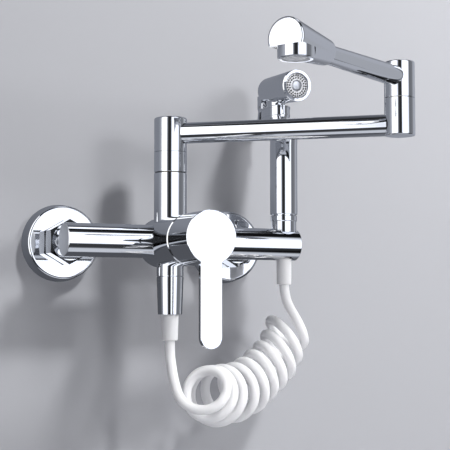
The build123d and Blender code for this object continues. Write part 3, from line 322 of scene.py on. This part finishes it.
pane = bmesh.new()
pane_sides = ((PANE_LOW[1], PANE_LOW[2]), (PANE_HIGH[1], PANE_LOW[2]),
              (PANE_HIGH[1], PANE_HIGH[2]), (PANE_LOW[1], PANE_HIGH[2]))
pane.faces.new([pane.verts.new((PANE_LOW[0], y, z)) for y, z in pane_sides])
pane_mesh = bpy.data.meshes.new("left_window")
pane.to_mesh(pane_mesh)
pane.free()
pane_light, pane_shader = fresh("window_light")
pane_shader.inputs["Base Color"].default_value = (0, 0, 0, 1)
pane_shader.inputs["Emission Color"].default_value = PANE_TINT
pane_shader.inputs["Emission Strength"].default_value = WINDOW
pane_mesh.materials.append(pane_light)
left_window = bpy.data.objects.new("left_window", pane_mesh)
bpy.context.scene.collection.objects.link(left_window)
left_window.visible_camera = False
left_window.visible_diffuse = False
left_window.visible_shadow = False
left_window.visible_transmission = False

# ---- Lamps ---------------------------------------------------------------------------------------
# Three soft square lamps stand in front and to the right. They light the matt surfaces and
# throw the shadows to the lower left. Mirror images leave them out.


def soft_lamp(name, place, aim, size, watts):
    """A square soft lamp; its size is the length of its side."""
    lamp = bpy.data.lights.new(name, "AREA")
    lamp.size = size
    lamp.energy = watts
    piece = bpy.data.objects.new(name, lamp)
    piece.location = place
    piece.rotation_euler = (Vector(aim) - Vector(place)).to_track_quat("-Z", "Y").to_euler()
    piece.visible_glossy = False
    piece.visible_camera = False
    bpy.context.scene.collection.objects.link(piece)


soft_lamp("high_lamp", (0.55, -1.25, 1.42), aim=(0.05, -0.05, 0.0), size=0.22, watts=27)
soft_lamp("low_lamp", (0.66, -1.35, 0.32), aim=(0.05, -0.05, 0.0), size=0.35, watts=7)
soft_lamp("right_lamp", (0.85, -0.50, 0.60), aim=(0.10, -0.05, 0.1), size=0.5, watts=3)

# ---- Wall unions, covers, nuts and tails ---------------------------------------------------------
# Two brass unions screw into the wall inlets. Each carries a pressed, plated cover, and a
# hexagon nut draws the flanged tail of the bar onto its flat seal.

CHROME_TINT = (0.80, 0.81, 0.83, 1)
BRIGHT_TINT = (0.84, 0.85, 0.87, 1)
BRASS_TINT = (0.80, 0.60, 0.30, 1)
SEAL_COLOUR = (0.030, 0.030, 0.032, 1)
SKIN_DEEP = 0.004  # how far light spreads inside pale rubber and plastic
SHADED = 0.94  # share of the colour in the darker parts of the mottle
MARKS_FROM = 0.35  # noise levels between which the water marks on metal grow
MARKS_TO = 0.75


def plated(name, tint, polish, haze):
    """Polished metal; water marks and rubbing roughen it from polish up by haze."""
    material, shader = fresh(name)
    tree = material.node_tree
    shader.inputs["Base Color"].default_value = tint
    shader.inputs["Metallic"].default_value = 1.0
    marks = tree.nodes.new("ShaderNodeMapRange")
    marks.inputs["From Min"].default_value = MARKS_FROM
    marks.inputs["From Max"].default_value = MARKS_TO
    marks.inputs["To Min"].default_value = polish
    marks.inputs["To Max"].default_value = polish + haze
    tree.links.new(grain(tree, scale=45, detail=6, roughness=0.62), marks.inputs["Value"])
    tree.links.new(marks.outputs["Result"], shader.inputs["Roughness"])
    relief(tree, grain(tree, scale=60, detail=1), strength=0.12, depth=0.0002)
    return material


def rubber(name, colour, roughness, glow=0.0):
    """Moulded rubber or plastic with a fine mottle; glow is how much light spreads inside it."""
    material, shader = fresh(name)
    tree = material.node_tree
    mottle = grain(tree, scale=130, detail=4)
    tone = tree.nodes.new("ShaderNodeValToRGB")
    tone.color_ramp.elements[0].color = [SHADED * c for c in colour[:3]] + [1]
    tone.color_ramp.elements[1].color = colour
    tree.links.new(mottle, tone.inputs["Fac"])
    tree.links.new(tone.outputs["Color"], shader.inputs["Base Color"])
    shader.inputs["Roughness"].default_value = roughness
    shader.inputs["Subsurface Weight"].default_value = glow
    shader.inputs["Subsurface Radius"].default_value = (1.0, 1.0, 1.0)
    shader.inputs["Subsurface Scale"].default_value = SKIN_DEEP
    relief(tree, mottle, strength=0.08, depth=0.0002)
    return material


def dress(material, slot, *names):
    """Gives CAD nodes a finish."""
    for name in names:
        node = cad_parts[name]
        for holder in node.material_slots:
            holder.material = material


chrome = plated("chrome_plate", CHROME_TINT, polish=0.035, haze=0.05)
bright_chrome = plated("bright_chrome_plate", BRIGHT_TINT, polish=0.03, haze=0.03)
brass = plated("turned_brass", BRASS_TINT, polish=0.22, haze=0.12)
seal_rubber = rubber("seal_rubber", SEAL_COLOUR, roughness=0.55)

dress(brass, "brass", "wall_union_left", "wall_union_right")
dress(chrome, "chrome", "escutcheon_left", "escutcheon_right", "union_nut_left", "union_nut_right")
dress(chrome, "chrome", "inlet_tail_left", "inlet_tail_right")
dress(seal_rubber, "seal_rubber", "union_washer_left", "union_washer_right")

# ---- Mixer body and cartridge --------------------------------------------------------------------
# The cross bar, valve housing and spud are one plated brass casting, with a satin face at the
# bar's left end. A ceramic cartridge sits in the housing under a hexagon nut.

FACE_DEPTH = 0.0003
FACE_ROUGHNESS = 0.42

bar_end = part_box("mixer_body")[0].x
body_chrome = plated("body_chrome_plate", CHROME_TINT, polish=0.035, haze=0.05)
body_tree = body_chrome.node_tree
on_face = sums(body_tree, "LESS_THAN", place_along(body_tree, "X"), bar_end + FACE_DEPTH)
satin_face = sums(body_tree, "MULTIPLY", on_face, FACE_ROUGHNESS)
body_roughness = body_tree.nodes["Principled BSDF"].inputs["Roughness"]
body_marks = body_roughness.links[0].from_socket
body_tree.links.new(sums(body_tree, "MAXIMUM", body_marks, satin_face), body_roughness)
dress(body_chrome, "chrome", "mixer_body")
dress(seal_rubber, "seal_rubber", "cartridge_gasket")

cartridge_plastic = rubber("cartridge_plastic", (0.62, 0.64, 0.66, 1), roughness=0.45)
ceramic = rubber("ceramic", (0.82, 0.80, 0.76, 1), roughness=0.25)
stainless = plated("stainless_steel", (0.62, 0.61, 0.59, 1), polish=0.2, haze=0.1)
dress(cartridge_plastic, "cartridge_plastic", "cartridge_body", "stem_guide")
dress(ceramic, "ceramic", "disc_fixed", "disc_moving")
dress(brass, "brass", "cartridge_nut")
dress(stainless, "stainless", "stem_pin", "lever_stem", "handle_screw")

# ---- Lever ---------------------------------------------------------------------------------------
# One zinc casting, polished and plated: a short skirt, a round front and a flat lever that
# hangs down. It sits on the cartridge's stem.

dress(bright_chrome, "bright_chrome", "lever_handle")

# ---- Spout column and arms -----------------------------------------------------------------------
# Plated brass tube work: the fixed riser, the ring nut and hub of the inner swivel, two arms
# with an elbow between them and the flared head with its aerator.

dress(chrome, "chrome", "column_riser", "swivel_ring", "arm_hub", "inner_arm_tube")
dress(chrome, "chrome", "elbow_lower_sleeve", "elbow_upper_sleeve", "outer_arm_tube", "nozzle_head")
dress(chrome, "chrome", "aerator_collar")
dress(brass, "brass", "column_spigot", "elbow_spigot")
dress(seal_rubber, "seal_rubber", "column_washer", "column_seals", "elbow_seals", "aerator_gasket")
insert_plastic = rubber("insert_plastic", (0.75, 0.76, 0.78, 1), roughness=0.4)
dress(insert_plastic, "insert_plastic", "aerator_insert")

# ---- Hose outlet and coiled hose -----------------------------------------------------------------
# A plated cone under the valve takes the hose. The hose is white polyurethane tube, wound
# left-handed into a springy coil between two moulded sleeves.

dress(chrome, "chrome", "outlet_cone")
white_sleeve = rubber("white_sleeve", (0.90, 0.90, 0.91, 1), roughness=0.45, glow=0.5)
dress(white_sleeve, "white_ferrule", "ferrule_left", "ferrule_right")

HOSE_WIDE = 0.008
HOSE_COLOUR = (0.93, 0.93, 0.94, 1)
COIL = [  # middle of the turns, their direction and their radius, from the outlet's end
    ((0.0197, -0.0830, -0.1182), (0.631, 0.667, -0.396), 0.0168),
    ((0.0353, -0.0690, -0.1242), (0.773, 0.625, -0.104), 0.0216),
    ((0.0629, -0.0600, -0.1205), (0.882, 0.395, 0.258), 0.0204),
    ((0.0839, -0.0570, -0.1078), (0.876, 0.153, 0.458), 0.0186),
    ((0.1004, -0.0550, -0.0922), (0.822, 0.027, 0.569), 0.0184),
    ((0.1136, -0.0500, -0.0694), (0.752, -0.042, 0.658), 0.0188),
]
COIL_TOP = (-0.517, 0, 0.856)  # direction of the first turns' top, from their middle
TURNS = 9.2
STEPS = 147  # route points round the coil
FIRST_TURN = 150.0  # degrees from the top of the coil, where the hose runs into it
LEAD_LEFT = [  # route from the outlet down to the coil
    (0.0, -0.059, -0.090), (-0.0003, -0.063, -0.0995), (-0.0006, -0.0674, -0.1086),
    (0.0, -0.0718, -0.1174), (0.0012, -0.0754, -0.1239), (0.0046, -0.0794, -0.1292),
    (0.0096, -0.0836, -0.1326),
]
LEAD_RIGHT = [  # route from the coil up to the gun
    (0.1158, -0.0688, -0.0717), (0.1130, -0.0690, -0.0665), (0.1107, -0.0674, -0.0613),
    (0.1072, -0.0629, -0.0525), (0.1050, -0.0599, -0.0438),
]


def eased(values, course):
    """Smooth course through evenly spaced values."""
    index = min(int(course), len(values) - 2)
    part = course - index
    here, there = values[index], values[index + 1]
    before = values[index - 1] if index > 0 else 2 * here - there
    after = values[index + 2] if index + 2 < len(values) else 2 * there - here
    square = 2 * before - 5 * here + 4 * there - after
    cube = 3 * here - before - 3 * there + after
    return 0.5 * (2 * here + (there - before) * part + square * part ** 2 + cube * part ** 3)


def foot(name):
    """Middle of a node's underside."""
    low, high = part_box(name)
    return Vector(((low.x + high.x) / 2, (low.y + high.y) / 2, low.z))


hose_from = foot("ferrule_left")
hose_to = foot("ferrule_right")
middles = [Vector(middle) for middle, run, radius in COIL]
runs = [Vector(run).normalized() for middle, run, radius in COIL]
radii = [radius for middle, run, radius in COIL]
upward = Vector(COIL_TOP)
route = [hose_from] + [Vector(point) for point in LEAD_LEFT]
for step in range(STEPS + 1):
    share = step / STEPS
    course = share * (len(COIL) - 1)
    along = eased(runs, course).normalized()
    upward = (upward - upward.dot(along) * along).normalized()
    turn = math.radians(FIRST_TURN) + 2 * math.pi * TURNS * share
    spoke = math.cos(turn) * upward - math.sin(turn) * along.cross(upward)
    route.append(eased(middles, course) + eased(radii, course) * spoke)
route += [Vector(point) for point in LEAD_RIGHT] + [hose_to]

line = bpy.data.curves.new("hose_line", "CURVE")
line.dimensions = "3D"
line.resolution_u = 5
spline = line.splines.new("NURBS")
spline.points.add(len(route) - 1)
for point, place in zip(spline.points, route):
    point.co = (*place, 1)
spline.order_u = 3
spline.use_endpoint_u = True
hose_line = bpy.data.objects.new("hose_line", line)
bpy.context.scene.collection.objects.link(hose_line)
bpy.context.view_layer.update()
centre_line = [v.co.copy() for v in bpy.data.meshes.new_from_object(hose_line).vertices]
line.bevel_depth = HOSE_WIDE / 2
line.bevel_resolution = 6
line.use_fill_caps = True
bpy.context.view_layer.update()
hose = bpy.data.objects.new("coiled_hose", bpy.data.meshes.new_from_object(hose_line))
bpy.context.scene.collection.objects.link(hose)
bpy.data.objects.remove(hose_line)
hose.data.materials.clear()
hose.data.materials.append(rubber("white_hose", HOSE_COLOUR, roughness=0.28, glow=0.6))
hose.data.shade_smooth()
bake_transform(hose)
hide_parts("hose_lead_left", "hose_coil", "hose_lead_right")

# ---- Spray gun -----------------------------------------------------------------------------------
# A plated grip on a base that plugs into the seat. It bends back into an oval neck with a
# plain band. The neck carries the drum of the head, and two ears hold the trigger's pin.

GRIP_FOOT = [(0.0300, 0.0080), (0.0254, 0.0080), (0.0254, 0.0112), (0.0258, 0.0116)]  # height, radius
BEND_HEIGHTS = [0.0835, 0.0900, 0.0965, 0.1030, 0.1095]
BEND_BACK = [0.0, 0.0, 0.0045, 0.01125, 0.0150]  # how far the middle lies behind the grip's axis
BEND_WIDTH = [0.0116, 0.0116, 0.0113, 0.0114, 0.0112]  # half widths, then half depths
BEND_DEPTH = [0.0116, 0.0116, 0.0124, 0.0143, 0.0155]
BEND = (BEND_HEIGHTS, BEND_BACK, BEND_WIDTH, BEND_DEPTH)
BEND_STEPS = 24
BAND = [  # height, half width and half depth: two raised rims, then the stem up into the drum
    (0.1100, 0.0112, 0.0155), (0.1101, 0.0116, 0.0159), (0.1109, 0.0116, 0.0159),
    (0.1110, 0.0112, 0.0155), (0.1166, 0.0112, 0.0155), (0.1167, 0.0116, 0.0159),
    (0.1178, 0.0116, 0.0159), (0.1180, 0.0110, 0.0145), (0.1184, 0.0085, 0.0110),
    (0.1196, 0.0078, 0.0092), (0.1300, 0.0078, 0.0092),
]
BAND_BACK = 0.0145
BAND_LEAN = 0.08  # the band stands higher in front
ROUND = 72  # points round the gun
CRISP = math.radians(32)  # edges that turn more stay sharp

gun_foot = foot("sprayer_base")


def angles(count):
    """Evenly spaced angles round a circle."""
    return [2 * math.pi * k / count for k in range(count)]


def skin(shape, loops):
    """Closed skin through loops of points: a face on the last is extruded back, loop by loop."""
    last = [shape.verts.new(point) for point in loops[-1]]
    face = shape.faces.new(last)
    for loop in reversed(loops[:-1]):
        face = bmesh.ops.extrude_discrete_faces(shape, faces=[face])["faces"][0]
        for corner, point in zip(face.verts, loop):
            corner.co = point
    shape.faces.new(last)


def finished(shape, name, material, body):
    """Turns the mesh's faces outwards, keeps its edges crisp and hangs it on its body."""
    bmesh.ops.recalc_face_normals(shape, faces=shape.faces)
    for face in shape.faces:
        face.smooth = True
    for edge in shape.edges:
        edge.smooth = edge.calc_face_angle(0) < CRISP
    mesh = bpy.data.meshes.new(name)
    shape.to_mesh(mesh)
    shape.free()
    mesh.materials.append(material)
    piece = bpy.data.objects.new(name, mesh)
    bpy.context.scene.collection.objects.link(piece)
    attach(piece, body)
    return piece


def oval(z, back, wide, deep, lean=0.0):
    """Loop of points round the gun at a height, its middle behind the grip's axis."""
    return [(gun_foot.x + wide * math.cos(a), gun_foot.y + back + deep * math.sin(a),
             z - lean * deep * math.sin(a)) for a in angles(ROUND)]


gun = bmesh.new()
loops = [oval(z, 0, radius, radius) for z, radius in GRIP_FOOT]
for step in range(BEND_STEPS + 1):
    course = step / BEND_STEPS * (len(BEND_HEIGHTS) - 1)
    loops.append(oval(*[eased(values, course) for values in BEND]))
loops += [oval(z, BAND_BACK, wide, deep, BAND_LEAN) for z, wide, deep in BAND]
skin(gun, loops)

HEAD_AHEAD = 0.0242  # of the grip's axis, to the middle of the head's face
HEAD_HEIGHT = 0.1322
HEAD_FACE = Vector((gun_foot.x, gun_foot.y - HEAD_AHEAD, HEAD_HEIGHT))
HEAD_TILT = math.radians(5)
HEAD_SIDE = Vector((1, 0, 0))
HEAD_BACK = Vector((0, math.cos(HEAD_TILT), math.sin(HEAD_TILT)))
HEAD_UP = Vector((0, -math.sin(HEAD_TILT), math.cos(HEAD_TILT)))
HEAD_LONG = 0.0512
HEAD_SINKS = 0.0018  # the drum's rear sits lower than its face's axis leads to
MOUTH = [(0.0030, 0.0122), (0.0004, 0.0122), (0.0, 0.0125), (0.0, 0.0131), (0.0004, 0.0134)]  # depth, radius
REAR_R = 0.0120
REAR_EDGE = 0.0030
REAR_STEPS = 6


def around(radius, count):
    """Spokes of a circle across the head, from its middle."""
    return [radius * (math.cos(a) * HEAD_SIDE + math.sin(a) * HEAD_UP) for a in angles(count)]


def drum_loop(depth, radius, points=ROUND):
    """Circle across the head at a depth behind its face."""
    centre = HEAD_FACE + depth * HEAD_BACK
    centre.z -= HEAD_SINKS * max(depth, 0) / HEAD_LONG
    return [centre + spoke for spoke in around(radius, points)]


rear_edge = [(HEAD_LONG - REAR_EDGE * (1 - math.sin(a)), REAR_R - REAR_EDGE * (1 - math.cos(a)))
             for a in (math.radians(90 * k / REAR_STEPS) for k in range(REAR_STEPS + 1))]
skin(gun, [drum_loop(depth, radius) for depth, radius in MOUTH + rear_edge])

EAR_R = 0.0039
EAR_THICK = 0.0018
EAR_RISE = 0.0100
EAR_GAP = 0.0003  # between the trigger and each ear
EAR_STEPS = 18
trigger_low, trigger_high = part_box("trigger")
pin_low, pin_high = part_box("trigger_pin")
pin_y = (pin_low.y + pin_high.y) / 2
pin_z = (pin_low.z + pin_high.z) / 2
for ear_x in (trigger_low.x - EAR_GAP - EAR_THICK, trigger_high.x + EAR_GAP):
    outline = [(pin_y + EAR_R * math.cos(a), pin_z + EAR_R * math.sin(a))
               for a in (math.radians(180 + 180 * k / EAR_STEPS) for k in range(EAR_STEPS + 1))]
    outline += [(pin_y + EAR_R, pin_z + EAR_RISE), (pin_y - EAR_R, pin_z + EAR_RISE)]
    skin(gun, [[(x, y, z) for y, z in outline] for x in (ear_x, ear_x + EAR_THICK)])
gun_piece = finished(gun, "spray_gun_body", chrome, "spray_gun")
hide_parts("sprayer_body")

# ---- Spray plate ---------------------------------------------------------------------------------
# A plated bezel closes the drum's mouth. The pale plate inside it has a groove round its rim,
# two rings of soft rubber jets and a satin boss in the middle. Outlines are depth and radius.

PLATE = [(0.0028, 0.0108), (0.0018, 0.0108), (0.0018, 0.0103), (0.0009, 0.0100), (0.0006, 0.0097),
         (0.0006, 0.0050), (0.0012, 0.0047)]
BOSS = [(0.0028, 0.0045), (0.0005, 0.0045), (0.0001, 0.0041), (-0.0002, 0.0032), (-0.0004, 0.0018),
        (-0.0005, 0.0005)]
JETS = [(0.0087, 26), (0.0067, 18)]  # ring's radius and number of jets
JET = [(0.0008, 0.00072), (0.0001, 0.00066), (-0.0001, 0.00045)]
JET_POINTS = 10
BEZEL = [(0.0030, 0.0121), (0.0, 0.0121), (0.0, 0.0132), (-0.0004, 0.0133), (-0.0007, 0.0130),
         (-0.0007, 0.0110), (-0.0004, 0.0107), (0.0026, 0.0105)]

plate_paint = rubber("spray_plate", (0.74, 0.75, 0.78, 1), roughness=0.4)
jet_rubber = rubber("jet_rubber", (0.05, 0.05, 0.055, 1), roughness=0.6)
satin_chrome = plated("satin_plate", CHROME_TINT, polish=0.32, haze=0.08)
bezel = bmesh.new()
skin(bezel, [drum_loop(depth, radius) for depth, radius in BEZEL])
bezel_piece = finished(bezel, "spray_head_bezel", bright_chrome, "spray_gun")
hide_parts("spray_bezel")
plate = bmesh.new()
skin(plate, [drum_loop(depth, radius) for depth, radius in PLATE])
plate_piece = finished(plate, "spray_plate_disc", plate_paint, "spray_gun")
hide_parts("spray_plate")
boss = bmesh.new()
skin(boss, [drum_loop(depth, radius) for depth, radius in BOSS])
finished(boss, "spray_plate_boss", satin_chrome, "spray_gun")
jets = bmesh.new()
for ring_r, count in JETS:
    for offset in around(ring_r, count):
        skin(jets, [[point + offset for point in drum_loop(depth, radius, JET_POINTS)]
                    for depth, radius in JET])
finished(jets, "spray_jets", jet_rubber, "spray_gun")

dress(chrome, "chrome", "sprayer_base", "sprayer_ring", "trigger")
dress(stainless, "stainless", "trigger_pin", "spray_plunger")
